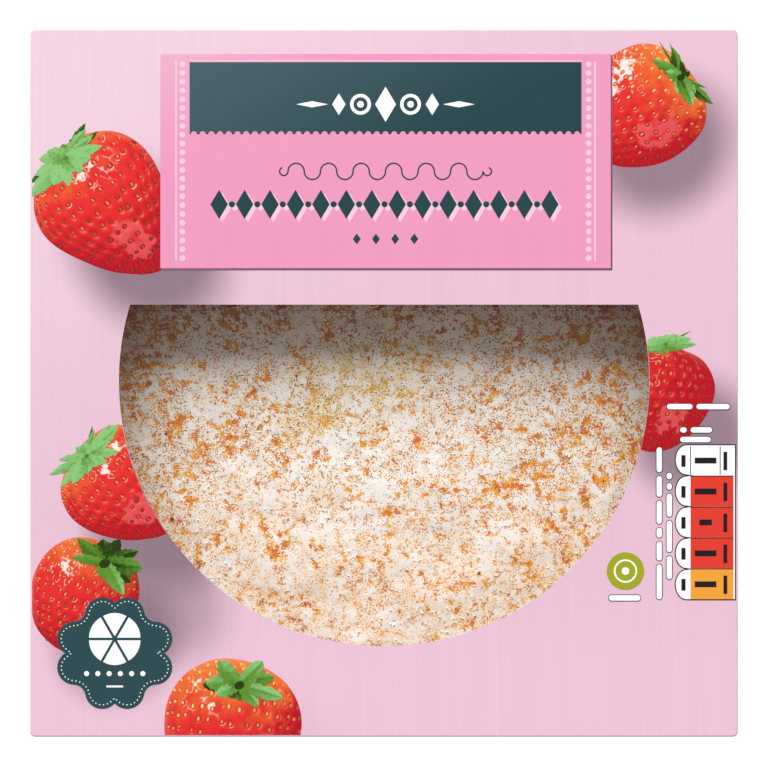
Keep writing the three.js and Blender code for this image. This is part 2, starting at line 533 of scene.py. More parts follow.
# The leaves of each strawberry, in the same order. core is the radius of the dark middle, tone is 0 for
# dark leaves and 1 for fresh ones, contrast is how much a leaf lightens to its tip, and blunt is 0 for
# pointed leaves and 1 for round ones. Each leaf has its direction, length, width and a shift of tone,
# and lies over the one before.
CALYXES = (
    Calyx(-76.3, 53.9, 0.55, 0.9, 0.26, 0.2, (
        (-148, 10.6, 2.4, -0.8), (63, 9.6, 2.4, -0.8), (39, 10.0, 2.0, -0.8), (118, 3.4, 3.6, -0.5),
        (-132, 12.9, 4.0, 0.0), (-148, 8.6, 3.2, 0.05), (-112, 7.2, 4.4, 0.0), (-92, 6.7, 3.2, 0.05),
        (172, 6.4, 3.6, 0.0), (150, 4.8, 3.8, -0.05), (60, 8.4, 2.8, -0.15), (40, 8.6, 2.4, -0.1),
        (22, 9.2, 2.8, 0.0), (-6, 6.0, 4.0, 0.05), (-33, 5.0, 3.6, 0.0), (-62, 3.8, 3.8, 0.0))),
    Calyx(71.2, 73.3, 0.8, 0.42, 0.5, 0.0, (
        (120, 10.1, 0.7, -0.1), (107, 9.0, 0.7, 0.0), (-24, 6.6, 0.8, -0.1), (40, 2.6, 2.4, -0.25),
        (103, 7.6, 2.6, -0.1), (85, 4.4, 2.4, -0.2), (144, 8.3, 2.8, 0.1), (165, 4.0, 2.8, 0.2),
        (-44, 10.0, 2.8, -0.15), (-95, 4.0, 3.0, 0.25), (-52, 5.2, 2.8, 0.1), (-69, 7.4, 3.4, 0.25))),
    Calyx(67.6, 9.4, 0.35, 0.86, 0.25, 0.1, (
        (27, 6.8, 0.5, -0.5), (-124, 2.6, 3.0, -0.2), (-60, 2.0, 2.8, -0.2), (-22, 4.4, 2.2, -0.2),
        (-150, 4.4, 2.6, -0.15), (-3, 7.3, 2.0, 0.0), (13, 6.1, 2.4, 0.05), (35, 3.6, 2.6, 0.0),
        (95, 2.3, 3.0, 0.0), (137, 2.8, 3.0, 0.0), (62, 2.8, 2.8, 0.05), (165, 4.6, 2.8, 0.05),
        (-175, 5.6, 3.0, 0.0))),
    Calyx(-71.3, -17.5, 0.45, 0.86, 0.24, 0.05, (
        (79, 7.4, 1.0, -0.7), (77, 6.6, 1.6, -0.1), (150, 3.4, 2.6, 0.0), (110, 3.4, 3.0, 0.0),
        (54, 9.6, 2.0, 0.0), (41, 11.0, 3.2, 0.0), (13, 7.9, 2.6, 0.05), (-12, 5.0, 2.8, 0.0),
        (30, 6.4, 3.0, 0.0), (-172, 6.8, 2.0, 0.0), (-150, 10.0, 2.4, 0.0), (-128, 9.8, 2.6, 0.0),
        (-114, 7.6, 3.2, 0.05), (-85, 4.4, 3.0, 0.0), (-45, 3.6, 3.0, 0.0))),
    Calyx(-67.0, -43.3, 1.1, 0.42, 0.3, 0.35, (
        (58, 6.9, 3.6, -0.4), (94, 5.9, 4.6, -0.3), (122, 6.4, 3.6, -0.22), (24, 8.6, 3.2, -0.25),
        (-30, 7.8, 3.6, -0.25), (143, 8.8, 3.4, 0.0), (-8, 9.1, 4.8, -0.02), (164, 8.1, 2.5, 0.2),
        (-112, 3.4, 2.8, 0.15), (-76, 5.4, 3.0, 0.15), (-57, 8.8, 3.6, 0.38))),
    Calyx(-34.7, -72.5, 1.0, 0.58, 0.35, 0.75, (
        (176, 8.8, 3.4, -0.6), (-125, 3.8, 2.8, -0.4), (-85, 3.8, 2.8, -0.3), (18, 8.6, 3.4, -0.1),
        (172, 8.0, 4.0, 0.05), (-157, 6.0, 3.0, 0.15), (-48, 6.8, 2.9, 0.1), (-16, 10.8, 3.4, 0.22),
        (135, 7.6, 4.2, 0.1), (40, 8.0, 4.0, 0.12))),
)

# Bright wet spots on the strawberries: their place, half width, half height and turn.
WET_SPOTS = (
    (-70.6, 52.0, 0.9, 2.0, -40), (-73.9, 49.3, 2.0, 1.3, 20), (57.6, 75.6, 2.6, 3.6, -15),
    (54.9, 70.8, 1.2, 2.4, 0), (-76.2, -44.0, 1.3, 2.4, 20), (-41.5, -77.6, 1.0, 1.0, 0),
    (-63.9, -15.4, 1.8, 1.1, -15), (-66.9, -20.6, 1.3, 2.0, 10), (-44.9, -71.9, 1.4, 0.7, 30),
    (60.6, 4.4, 1.2, 1.6, 0),
)

# Each berry's printed shade lies this far below it, in millimetres, and is this many times its size.
SHADE_DROP = 9.5
SHADE_SIZE = 1.12
SHADE_CORE, SHADE_RIM = 0.55, 1.35

# The pair of strawberries at the left throws a wider, softer shade too: its place, heading, length,
# width and strength.
WIDE_SHADE = (-54.5, -49.5, -45, 38.0, 27.0, 0.6)


def printed_shade(finish):
    """How strong the soft shades printed beside the strawberries are at a place."""
    shades = [(berry.x + berry.lean, berry.y - SHADE_DROP, berry.heading,
               SHADE_SIZE * berry.length, SHADE_SIZE * berry.width, berry.shade) for berry in BERRIES]
    clear = 1.0
    for x, y, heading, long, wide, strength in (*shades, WIDE_SHADE):
        away = finish.away((x * MM, y * MM, LID_TOP), heading, long * MM / 2, wide * MM / 2)
        lit = finish.step(away, SHADE_CORE, SHADE_RIM)
        clear = finish.times(clear, finish.plus(finish.times(lit, strength), 1 - strength))
    return finish.minus(1.0, clear)


def bare_board(finish, settings):
    """1 inside the walls and below the lid's face, where the board has no print, and 0 elsewhere."""
    x, y, z = finish.axes()
    past = finish.node("ShaderNodeCombineXYZ")
    for number, part in enumerate((x, y)):
        over = finish.minus(finish.math("ABSOLUTE", part), HALF - settings.corner_radius)
        finish.feed(past.inputs[number], finish.math("MAXIMUM", over, 0.0))
    inside = finish.math("LESS_THAN", finish.size(past.outputs[0]), settings.corner_radius - 0.12 * MM)
    below = finish.math("LESS_THAN", z, LID_TOP - 0.1 * MM)
    above = finish.math("GREATER_THAN", z, 0.2 * MM)
    return finish.times(inside, below, above)


def board_finish(settings):
    """Folding board: printed pink outside with upright lines and soft shades, and bare inside; the lid's pink
    is lighter at its upper left as a painted light, and the walls deeper as a painted shade.
    """
    finish = Finish("printed_board", 0.45, 0.2)
    _, y, z = finish.axes()
    # The pink pales towards the upper left of the lid: a painted light.
    blend = finish.step(finish.along((0.62, -0.78, 0)), -110 * MM, -10 * MM)
    pink = finish.mix(blend, settings.print_in_painted_light, settings.print_dark)
    front = finish.step(y, -35 * MM, -75 * MM)
    pink = finish.mix(front, pink, settings.print_front)
    # Below the lid's face the pink turns deeper: a painted shade on the brightly lit walls.
    on_lid = finish.step(z, LID_TOP - 1.2 * MM, LID_TOP - 0.6 * MM)
    pink = finish.mix(on_lid, settings.wall_pink_in_painted_shade, pink)
    shade = finish.times(printed_shade(finish), on_lid, 0.95)
    printed = finish.brushed(finish.mix(shade, pink, settings.shade), 0.16)

    fleck = finish.mix(finish.noise(0.5 * MM, 4, 0.7), settings.raw_board, tint(204, 190, 168))
    finish.colour(finish.mix(bare_board(finish, settings), printed, fleck))
    finish.bump(finish.noise(0.15 * MM, 4), 0.012 * MM, 0.5)
    return finish.material


def tray(bm, settings, height):
    """The base and the four walls, open at the top."""
    made = block(bm, (-HALF, -HALF, 0), (HALF, HALF, height))
    corners = {edge for vert in made for edge in vert.link_edges
               if abs(edge.verts[0].co.z - edge.verts[1].co.z) > height / 2}
    bevel(bm, list(corners), settings.corner_radius, 6)
    top = [face for face in bm.faces if face.normal.z > 0.9]
    bmesh.ops.delete(bm, geom=top, context="FACES_ONLY")
    folds = [edge for edge in bm.edges
             if not edge.is_boundary and all(vert.co.z < MM for vert in edge.verts)]
    bevel(bm, folds, settings.fold_radius, 3)
    bmesh.ops.recalc_face_normals(bm, faces=bm.faces)
    bmesh.ops.solidify(bm, geom=bm.faces[:], thickness=settings.board)


def lid(bm, settings):
    """The flat lid with its window and the round folds at its outer edge."""
    outline = rounded_square(bm, HALF, settings.corner_radius) + window_outline(bm)
    faces = bmesh.ops.triangle_fill(bm, use_beauty=True, use_dissolve=False, edges=outline)["geom"]
    faces = [item for item in faces if isinstance(item, bmesh.types.BMFace)]
    face_up(faces)
    thicken(bm, faces, settings.board)

    def on_rim(vert):
        across = max(abs(vert.co.x), abs(vert.co.y))
        return abs(vert.co.z) < 1e-6 and across > HALF - settings.corner_radius

    upper = [edge for edge in bm.edges
             if all(on_rim(vert) for vert in edge.verts) and edge.calc_face_angle(0) > 1]
    bevel(bm, upper, settings.fold_radius, 4)
    bmesh.ops.translate(bm, verts=bm.verts, vec=LID_TOP * UP)


def flap(bm, settings, quarter):
    """A tapered flap of the lid, hanging just inside a wall."""
    gap = 1 * MM
    taper = 7 * MM
    reach = HALF - settings.corner_radius - 2.5 * MM
    low = -settings.flap_depth
    before = set(bm.verts)
    pen = Pen(bm, -reach, 0)
    pen.line(-reach + taper, low).line(reach - taper, low).line(reach, 0)
    thicken(bm, [pen.fill()], settings.board)
    hang = (Matrix.Rotation(quarter * math.pi / 2, 4, "Z")
            @ Matrix.Translation((0, -HALF + gap, LID_TOP - settings.board / 2))
            @ Matrix.Rotation(math.pi / 2, 4, "X"))
    bmesh.ops.transform(bm, verts=since(bm, before), matrix=hang)


def back_fold(bm, settings, height):
    """The scored strip that joins the lid to the back wall, and the glued edge of the board beside it."""
    half = HALF - settings.corner_radius
    for low, high, left, right, proud in (
            (height - 0.4 * MM, LID_TOP - settings.board / 2, -half, half, -0.05 * MM),
            (settings.fold_radius, height, -half, -half + 14 * MM, 0.1 * MM)):
        outer = HALF + proud
        block(bm, (left, outer - settings.board, low), (right, outer, high))


class CAKEBOX_OT_carton(bpy.types.Operator):
    """Folds the carton: a tray, and a lid with the window cut in it"""
    bl_idname = "cakebox.carton"
    bl_label = "Carton"

    def execute(self, context):
        settings = context.scene.cakebox_carton
        seam = 0.3 * MM
        height = LID_TOP - settings.board - seam
        bm = bmesh.new()
        lid(bm, settings)
        for quarter in (0, 1, 3):
            flap(bm, settings, quarter)
        walls = bmesh.new()
        tray(walls, settings, height)
        back_fold(walls, settings, height)
        pour(walls, bm)
        walls.free()
        keep("printed_carton", bm, board_finish(settings), ["carton"])
        return {"FINISHED"}


class CAKEBOX_OT_film(bpy.types.Operator):
    """Gives the window's film its clear, faintly rippled gloss"""
    bl_idname = "cakebox.film"
    bl_label = "Window film"

    def execute(self, context):
        haze, shine = 0.004, 0.2
        finish = Finish("clear_film", 0.06)
        finish.colour((0.9, 0.9, 0.9))
        gloss = finish.node("ShaderNodeFresnel")
        gloss.inputs["IOR"].default_value = 1.45
        strength = finish.plus(finish.times(gloss.outputs[0], shine), haze)
        finish.feed(finish.shader.inputs["Alpha"], strength)
        finish.bump(finish.noise(26 * MM, 2, 0.4), 0.5 * MM, 0.3)
        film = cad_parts["window_film"]
        film.data.materials.clear()
        film.data.materials.append(finish.material)
        return {"FINISHED"}


# ---------------------------------------------------------------- cake


def ramp(value, reach):
    """0 below zero, 1 above reach, and straight between them."""
    return min(1.0, max(0.0, value / reach))


def sugar_cover(x, y):
    """How thickly the sugar lies at a place on the cake's top. About 0.5 is thin.

    It is thinner at both sides and towards the hinge, the latter partly a painted warm shade under the lid,
    and a little thicker at the front, a painted light that pales it there."""
    broad, patch, small = (noise.noise(Vector((x, y, height)) / (size * MM))
                           for height, size in ((3.1, 10), (7.7, 3.8), (1.3, 1.8)))
    outward = (x / (60 * MM)) ** 2
    # Less sugar towards the hinge: partly a painted warm shade under the lid.
    back = 0.16 * ramp(y - 8 * MM, 20 * MM) * (1 + 0.8 * outward)
    # More sugar at the front: a painted light that pales the front.
    front = 0.03 * ramp(-22 * MM - y, 16 * MM)
    return 0.65 + 0.13 * broad + 0.34 * patch + 0.26 * small - 0.13 * outward - back + front


def crust_colour(finish, settings, pale, browning_and_warm_shade):
    """The bare crust: patches of gold, paler in the middle of the cake and darker brown towards the hinge,
    partly as a painted warm shade under the lid.
    """
    hue = finish.noise(2.6 * MM, 2, 0.6)
    crust = finish.mix(finish.step(hue, 0.40, 0.58), settings.baked, settings.golden)
    crust = finish.glaze(crust, tint(240, 190, 80), pale, 0.8)
    return finish.glaze(crust, tint(162, 60, 14), browning_and_warm_shade, 0.75)


def sugar_gaps(finish, shown, thick, lying):
    """Where specks of crust show between the grains: in crowds, and less where the sugar lies thick."""
    gaps = finish.minus(shown, finish.times(thick, 0.10))
    gaps = finish.plus(gaps, finish.times(finish.uneven(1.3 * MM), 0.3))
    gaps = finish.minus(gaps, finish.times(lying, 0.08))
    gaps = finish.plus(gaps, finish.times(finish.uneven(12 * MM), 0.12))
    return finish.step(gaps, 0.016, 0.04)


def cake_finish(settings):
    """A golden crust under icing sugar: smooth white drifts, thin specked sugar, and bare strings."""
    finish = Finish("sugared_sponge", 0.85, 0.5)
    along = finish.axes()[1]
    drift = finish.uneven(5.0 * MM)
    lying = finish.plus(finish.amount("sugar"), finish.times(finish.uneven(1.7 * MM, 4, 0.7), 2.7))
    thick = finish.step(finish.plus(lying, finish.times(drift, 1.2)), 0.68, 0.98)
    ragged = finish.plus(lying, finish.times(finish.uneven(0.36 * MM, 1, 0.6), 0.8))
    bare = finish.step(ragged, 0.42, 0.37)
    middle = finish.away((-7 * MM, -1 * MM, 0), 25, 26 * MM, 15 * MM)
    pale = finish.step(finish.plus(middle, drift), 1.0, 0.2)
    # Towards the hinge the crust browns and the sugar warms, partly a painted warm shade under the lid.
    browning_and_warm_shade = finish.step(along, 2 * MM, 26 * MM)
    crust = crust_colour(finish, settings, pale, browning_and_warm_shade)

    # Specks are dark where they are alone, and have the crust's colour elsewhere.
    shown = finish.uneven(0.38 * MM, 1, vector=finish.mapped((0.3, 0.2, 0.1)))
    speck = sugar_gaps(finish, shown, thick, lying)
    speck_tone = finish.glaze(
        crust, settings.dark, finish.step(ragged, 0.45, 0.64), finish.step(along, -48 * MM, -14 * MM))

    sugar = finish.glaze(settings.thin_sugar, tint(252, 228, 178), pale, 0.9)
    sugar = finish.mix(thick, sugar, settings.sugar)
    # Warmer sugar towards the hinge: a painted warm shade.
    sugar = finish.glaze(sugar, tint(244, 202, 162), browning_and_warm_shade, 0.55)
    sugar = finish.glaze(sugar, speck_tone, speck, 0.9)
    crust = finish.glaze(crust, settings.dark, finish.step(shown, 0.03, 0.08), 0.45)
    finish.colour(finish.mix(bare, sugar, crust))
    relief = finish.plus(finish.times(finish.math("MINIMUM", ragged, 0.9), 0.8),
                         finish.times(finish.noise(0.2 * MM, 2), 0.5))
    finish.bump(relief, 0.1 * MM, 0.3)
    return finish.material


def grain_finish(name, light, dark, roughness, specular):
    """The finish of clumps or crumbs, from one colour to another."""
    finish = Finish(name, roughness, specular)
    finish.colour(finish.mix(finish.step(finish.noise(1.1 * MM, 2, 0.6), 0.35, 0.65), light, dark))
    finish.bump(finish.noise(0.08 * MM, 2), 0.03 * MM, 0.6)
    return finish.material


# The baked cake's section, as the frame's solid has it: an upright wall that bulges a little, a round
# foot and shoulder, and a domed top that is CAKE_FLAT wide on each side of the middle.
CAKE_RADIUS = (CAKE_HIGH.x - CAKE_LOW.x + CAKE_HIGH.y - CAKE_LOW.y) / 4 - 0.5 * MM
CAKE_DOME = 3 * MM
CAKE_FOOT = 4 * MM
CAKE_SHOULDER = 9 * MM
CAKE_BULGE = 1.2 * MM
CAKE_WALL = CAKE_RADIUS - CAKE_BULGE
CAKE_FLAT = CAKE_WALL - CAKE_SHOULDER


def cake_top(radius):
    """The height of the domed top at a distance from the middle, before its sugar."""
    return CAKE_HIGH.z - 0.6 * MM - CAKE_DOME * (radius / CAKE_FLAT) ** 2


# Where the wall ends and the round shoulder starts.
CAKE_RIM = cake_top(CAKE_FLAT) - CAKE_SHOULDER


def cake_section():
    """Half of the cake's section, from the middle of its base round to the middle of its top."""
    base = CAKE_LOW.z
    section = [(0.0, base)]
    for step in range(5):
        angle = math.radians(-90 + 90 * step / 4)
        section.append((CAKE_WALL - CAKE_FOOT * (1 - math.cos(angle)),
                        base + CAKE_FOOT * (1 + math.sin(angle))))
    for step in range(1, 24):
        share = step / 24
        section.append((CAKE_RADIUS - CAKE_BULGE * (1 - math.sin(share * math.pi)),
                        base + CAKE_FOOT + share * (CAKE_RIM - base - CAKE_FOOT)))
    for step in range(13):
        angle = math.radians(90 * step / 12)
        section.append((CAKE_FLAT + CAKE_SHOULDER * math.cos(angle),
                        CAKE_RIM + CAKE_SHOULDER * math.sin(angle)))
    rings = 96
    for step in range(1, rings + 1):
        radius = CAKE_FLAT * (1 - step / rings)
        section.append((radius, cake_top(radius)))
    return section


def sponge(bm):
    """The cake's solid: its half section spun about the middle."""
    section = cake_section()
    chain = [bm.verts.new((section[0][0], 0, section[0][1]))]
    for radius, z in section[1:]:
        chain.append(bmesh.ops.extrude_vert_indiv(bm, verts=[chain[-1]])["verts"][0])
        chain[-1].co = (radius, 0, z)
    bmesh.ops.spin(
        bm, geom=bm.verts[:] + bm.edges[:], cent=(0, 0, 0), axis=UP, angle=2 * math.pi, steps=400,
        use_merge=True)
    bmesh.ops.remove_doubles(bm, verts=bm.verts, dist=1e-6)
    bmesh.ops.recalc_face_normals(bm, faces=bm.faces)


def risen(bm):
    """Makes the cake as uneven as a risen sponge, and notes how thickly the sugar lies on it."""
    layer = bm.verts.layers.float.new("sugar")
    for vert in bm.verts:
        place = vert.co.copy()
        edge = max(0.0, (math.hypot(place.x, place.y) - CAKE_FLAT) / CAKE_SHOULDER)
        cover = sugar_cover(place.x, place.y) - 0.9 * edge
        if place.z < CAKE_RIM:
            cover = 0.0
        vert[layer] = max(0.0, cover)
        if place.z > CAKE_LOW.z + CAKE_FOOT:
            rough = noise.fractal(place / (16 * MM), 0.8, 2.0, 3)
            vert.co += vert.normal * (0.5 * MM * rough)
        if place.z > CAKE_RIM:
            vert.co.z += 0.28 * MM * min(1.0, vert[layer]) - 0.1 * MM
            pore = noise.noise(place / (1.1 * MM))
            vert.co.z -= 0.22 * MM * max(0.0, pore) * max(0.0, 1 - vert[layer])


def scattered(bm, count, size, seed, wanted):
    """Small rough lumps on the cake's top, placed where wanted says."""
    rng = random.Random(seed)
    reach = CAKE_RADIUS - CAKE_SHOULDER
    batch = bmesh.new()
    made = 0
    while made < count:
        angle = rng.uniform(0, 2 * math.pi)
        radius = reach * math.sqrt(rng.random())
        x, y = radius * math.cos(angle), radius * math.sin(angle)
        if rng.random() > wanted(sugar_cover(x, y)):
            continue
        made += 1
        lump = size * rng.lognormvariate(0, 0.35)
        z = cake_top(radius) + 0.12 * MM + 0.4 * lump
        turn = Matrix.Rotation(rng.uniform(0, 2 * math.pi), 4, "Z")
        turn = turn @ Matrix.Rotation(rng.uniform(0, 1), 4, "X")
        shape = Matrix.Diagonal((1, rng.uniform(0.6, 1), rng.uniform(0.5, 0.9), 1))
        bmesh.ops.create_icosphere(
            batch, subdivisions=1, radius=lump, matrix=Matrix.Translation((x, y, z)) @ turn @ shape)
        if made % 50 == 0 or made == count:
            pour(batch, bm)
    batch.free()


class CAKEBOX_OT_cake(bpy.types.Operator):
    """Bakes the sponge cake and dusts it with icing sugar"""
    bl_idname = "cakebox.cake"
    bl_label = "Cake"

    def execute(self, context):
        settings = context.scene.cakebox_cake
        bm = bmesh.new()
        sponge(bm)
        risen(bm)
        cake = keep("sponge_cake", bm, cake_finish(settings), ["cake"])
        for face in cake.data.polygons:
            face.use_smooth = True

        clumps = bmesh.new()
        scattered(clumps, 5200, settings.clump_size, 11, lambda cover: cover - 0.3)
        sugar = grain_finish("sugar_clumps", settings.sugar, tint(250, 246, 240), 0.8, 0.3)
        keep("sugar_clumps", clumps, sugar)

        crumbs = bmesh.new()
        scattered(crumbs, 700, settings.crumb_size, 23, lambda cover: 0.95 - cover)
        crumb = grain_finish("cake_crumbs", settings.baked, settings.dark, 0.9, 0.2)
        keep("cake_crumbs", crumbs, crumb)
        return {"FINISHED"}


# ---------------------------------------------------------------- printed strawberries


class Print:
    """Where a strawberry is printed: turns a place on a unit ball into one on the lid, and back."""

    def __init__(self, berry):
        self.berry = berry
        self.turn = Matrix.Rotation(math.radians(berry.heading), 3, "Z")
        self.middle = Vector((berry.x, berry.y, 0)) * MM

    def narrowing(self, along):
        """How wide the berry is at a place along its axis, as a share of a plain ball's width."""
        return 1 - self.berry.taper * (along + 0.1)

    def on_lid(self, ball):
        """A place on the lid. The ball's X points to the berry's tip and its Z at the viewer."""
        berry = self.berry
        along = ball.x if ball.x > 0 else ball.x * (1 - berry.flat * ball.x ** 2)
        across = ball.y * self.narrowing(ball.x) + berry.skew * (1 - ball.x ** 2)
        return self.middle + self.turn @ (Vector((along * berry.length, across * berry.width, 0)) * MM / 2)

    def covers(self, point):
        """True where the berry lies over a place on the lid."""
        local = self.turn.inverted() @ (point - self.middle) * 2 / MM
        along = local.x / self.berry.length
        across = local.y / self.berry.width - self.berry.skew * (1 - along ** 2)
        return along ** 2 + (across / self.narrowing(along)) ** 2 < 1

    def shaded(self, point):
        """How deep a place on the lid lies in this berry's printed shade, from 0 to 1."""
        away = point - self.middle - Vector((self.berry.lean, -SHADE_DROP, 0)) * MM
        local = self.turn.inverted() @ away * 2 / (MM * SHADE_SIZE)
        reach = math.hypot(local.x / self.berry.length, local.y / self.berry.width)
        share = min(1.0, max(0.0, (SHADE_RIM - reach) / (SHADE_RIM - SHADE_CORE)))
        return share * share * (3 - 2 * share)

    def facing(self, ball):
        """Which way the drawn surface faces, in the lid's axes."""
        return self.turn @ ball


# The strawberries' printed light comes from here.
BERRY_LIGHT = Vector((-0.35, 0.55, 0.76))

# How wide the hollow round each seed is, as a share of the berry's radius.
DIMPLE = 0.062

# The sizes of a seed, the pit that it sits in, and the glint round it with the glint's width, as shares
# of the berry's width.
SEED, PIT, GLINT, GLINT_WIDTH = 0.0095, 0.024, 0.032, 0.007

# The fourth berry lies over the fifth.
OVER = {4: 3}


def dimming(number, point):
    """How much the berry lying over this one darkens it at a place."""
    return Print(BERRIES[OVER[number]]).shaded(point) if number in OVER else 0.0


def off_window(point, margin):
    """True where a place on the lid is clear of the window and of the lid's edge."""
    if max(abs(point.x), abs(point.y)) > HALF - margin:
        return False
    across = math.hypot(point.x, point.y - WINDOW_CENTRE)
    return across > WINDOW_RADIUS + margin or point.y > WINDOW_STRAIGHT_EDGE + margin


def trim_to_lid(bm):
    """Cuts flat faces back to the lid's edge and to the round edge of the window."""
    edge = HALF - 0.4 * MM
    for side in (Vector((1, 0, 0)), Vector((-1, 0, 0)), Vector((0, 1, 0)), Vector((0, -1, 0))):
        bmesh.ops.bisect_plane(
            bm, geom=bm.verts[:] + bm.edges[:] + bm.faces[:], plane_co=side * edge, plane_no=side,
            clear_outer=True)
    middle = Vector((0, WINDOW_CENTRE, 0))
    radius = WINDOW_RADIUS + 0.08 * MM

    def over_window(vert):
        return (vert.co - middle).length < radius and vert.co.y < WINDOW_STRAIGHT_EDGE

    gone = [face for face in bm.faces if all(over_window(vert) for vert in face.verts)]
    bmesh.ops.delete(bm, geom=gone, context="FACES")
    for vert in bm.verts:
        if over_window(vert):
            vert.co = middle + (vert.co - middle).normalized() * radius


def shoulder_colour(finish, settings, flesh, light, rough):
    """The flesh with an orange and golden shoulder at the stalk's end, unless the berry is ripe."""
    body = finish.direction("body")
    stalkward = finish.times(finish.axes(body)[0], -1.0)
    reach = finish.minus(stalkward, finish.times(finish.amount("ripe"), 0.62))
    blotch = finish.times(finish.uneven(0.3, 3, 0.6, body), 1.5)
    toward = finish.times(light, 0.36)
    orange = finish.step(finish.plus(reach, blotch, toward), 0.1, 1.0)
    gold = finish.step(finish.plus(reach, rough, toward), 0.8, 1.4)
    flesh = finish.glaze(flesh, settings.orange, orange, 0.95)
    return finish.glaze(flesh, tint(248, 172, 92), gold, 0.6)


def wet_white(finish, body, light):
    """How white the wet top is: thin broken lines, and the ragged spots of WET_SPOTS."""
    thread = finish.math("ABSOLUTE", finish.uneven(0.15, 1, 0.4, body))
    breaks = finish.noise(0.2, 2, 0.6, vector=finish.mapped((3, 5, 7), vector=body))
    white = finish.times(finish.step(thread, 0.04, 0.01), finish.step(breaks, 0.46, 0.58),
                         finish.step(light, 0.86, 0.98), 0.55)
    ragged = finish.times(finish.uneven(1.3 * MM), 3.4)
    for x, y, wide, high, turn in WET_SPOTS:
        away = finish.away((x * MM, y * MM, LID_TOP), turn, wide * MM, high * MM)
        near = finish.step(finish.plus(away, ragged), 1.0, 0.45)
        white = finish.math("MAXIMUM", white, finish.times(near, 0.88))
    return white


def berry_finish(settings):
    """Strawberry flesh, drawn as if lit from the upper left, with deep red shade and a wet sheen."""
    finish = Finish("strawberry_ink", 0.4, 0.2)
    facing, body = finish.direction("facing"), finish.direction("body")
    light = finish.along(BERRY_LIGHT, facing)
    dimple = finish.amount("dimple")
    mottle = finish.uneven(0.34, 3, 0.6, body)
    rough = finish.plus(finish.times(mottle, 0.7), finish.times(dimple, 0.55))
    overripe = finish.math("MAXIMUM", finish.minus(finish.amount("ripe"), 1.0), 0.0)
    lit = finish.minus(finish.plus(light, rough), finish.times(overripe, 1.2))
    flesh = finish.mix(finish.step(lit, -0.1, 0.95), settings.deep, settings.bright)
    flesh = shoulder_colour(finish, settings, flesh, light, rough)

    # Each seed's hollow has a pale lip on its lit side.
    flesh = finish.glaze(
        flesh, tint(255, 176, 150), finish.step(dimple, 0.2, 0.75), finish.step(light, 0.15, 0.95), 0.6)

    # A paler reflection lies across the lower side, in patches with clear edges.
    low = finish.along(Vector((0.28, -0.42, 0.86)), facing)
    patch = finish.plus(low, finish.times(mottle, 0.26))
    flesh = finish.glaze(
        flesh, tint(238, 104, 104), finish.step(patch, 0.935, 0.965), finish.step(patch, 1.04, 1.0), 0.5)
    flesh = finish.mix(wet_white(finish, body, light), flesh, tint(255, 240, 230))

    # The outline is darker away from the light and paler towards it.
    edge = finish.step(finish.axes(facing)[2], 0.5, 0.05)
    flesh = finish.glaze(flesh, tint(160, 12, 26), edge, finish.step(light, 0.35, -0.35), 0.4)
    flesh = finish.glaze(flesh, tint(248, 150, 120), edge, finish.step(light, 0.1, 0.6), 0.35)
    finish.colour(finish.glaze(flesh, tint(112, 22, 20), finish.amount("dim"), 0.75))
    finish.paper_grain()
    return finish.material


def toned_finish(name, dark, middle, light, speckle):
    """Ink that runs from dark through middle to light with each shape's own tone."""
    finish = Finish(name, 0.45, 0.15)
    tone = finish.plus(finish.amount("tone"), finish.times(finish.uneven(0.9 * MM, 3, 0.6), speckle))
    lower = finish.mix(finish.step(tone, 0.0, 0.5), dark, middle)
    finish.colour(finish.mix(finish.step(tone, 0.5, 1.0), lower, light))
    finish.paper_grain()
    return finish.material


def seed_places(gap, rng):
    """Rows of seeds round a berry, as places on a unit ball that face the viewer."""
    rows = int(math.pi / gap)
    places = []
    for row in range(1, rows):
        away = math.pi * row / rows
        count = max(1, round(2 * math.pi * math.sin(away) / gap / 1.1))
        for step in range(count):
            around = 2 * math.pi * (step + 0.5 * (row % 2) + rng.uniform(-0.2, 0.2)) / count
            tilt = away + rng.uniform(-0.2, 0.2) * gap
            wide = math.sin(tilt)
            ball = Vector((-math.cos(tilt), wide * math.sin(around), wide * math.cos(around)))
            if ball.z > -0.1:
                places.append(ball)
    return places


def nearest_seed(seeds):
    """Finds the seed nearest to a place on a berry's ball."""
    tree = kdtree.KDTree(len(seeds))
    for index, ball in enumerate(seeds):
        tree.insert(ball, index)
    tree.balance()
    return tree.find


def half_ball(bm, number, berry, seeds):
    """One berry's flesh: half a ball pressed flat, which keeps the way that it faced for the shading."""
    facing, body = (bm.verts.layers.float_vector.new(name) for name in ("facing", "body"))
    ripe, dim, dimple = (bm.verts.layers.float.new(name) for name in ("ripe", "dim", "dimple"))
    find = nearest_seed(seeds)
    place = Print(berry)
    bmesh.ops.create_uvsphere(bm, u_segments=144, v_segments=72, radius=1)
    behind = [vert for vert in bm.verts if vert.co.z < -1e-5]
    bmesh.ops.delete(bm, geom=behind, context="VERTS")
    for vert in bm.verts:
        ball = vert.co.copy()
        vert[facing] = place.facing(ball)
        vert[body] = ball + Vector((0, 0, 4.0 * number))
        vert[ripe] = berry.ripe
        seed, _, away = find(ball)
        slope = -place.facing(ball - seed).dot(BERRY_LIGHT) / DIMPLE
        vert[dimple] = 2 * slope * math.exp(-((away / DIMPLE) ** 2))
        lump = 1 + 0.02 * noise.noise(ball * 1.9 + Vector((number, 0, 0)))
        vert.co = place.on_lid(Vector((ball.x * lump, ball.y * lump, 0)))
        vert[dim] = dimming(number, vert.co)


def berry_bodies(berries, seeds):
    """The flesh of all the berries."""
    everything, bm = bmesh.new(), bmesh.new()
    for number, berry in enumerate(berries):
        half_ball(bm, number, berry, seeds[number])
        trim_to_lid(bm)
        lift = 0.5 * INK_LAYER if number in OVER.values() else 0
        bmesh.ops.translate(bm, verts=bm.verts, vec=lift * UP)
        pour(bm, everything)
    bm.free()
    return everything


